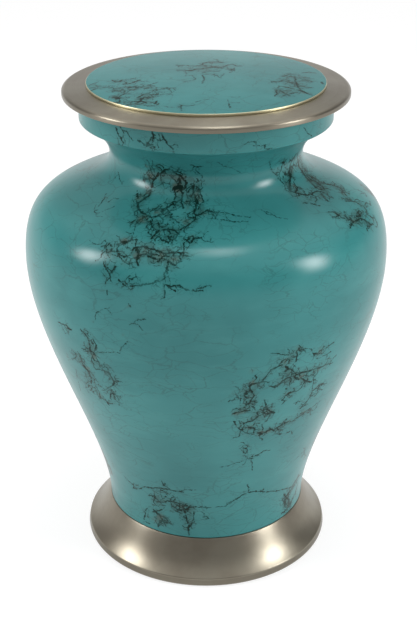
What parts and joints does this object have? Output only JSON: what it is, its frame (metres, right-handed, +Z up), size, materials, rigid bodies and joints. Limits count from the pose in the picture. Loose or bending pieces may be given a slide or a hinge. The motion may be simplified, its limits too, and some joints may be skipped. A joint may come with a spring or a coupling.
{
  "type": "funeral urn",
  "caption": "Turned metal urn with a lift-off lid: tapering hollow body, narrow neck, wide collar, flared foot and a domed disc on an overhanging lid plate.",
  "frame": {"origin": "centre of the foot's standing ring, on the surface the urn stands on", "axes": "+Z up along the turned axis through the lid; the urn is the same all round, and -Y faces the picture's camera"},
  "size_m": [0.1816, 0.1816, 0.2518],
  "materials": {
    "foot_pewter": "brushed satin pewter plating on brass",
    "vessel_enamel": "gloss turquoise enamel with dark veining under clear lacquer, on brass",
    "lid_pewter": "brushed satin pewter plating on brass",
    "disc_enamel": "gloss turquoise enamel with dark veining under clear lacquer, on brass with a bare polished edge"
  },
  "bodies": {
    "root": {"foot": "foot_pewter", "vessel": "vessel_enamel", "lid_plate": "lid_pewter", "lid_disc": "disc_enamel"}
  },
  "joints": []
}
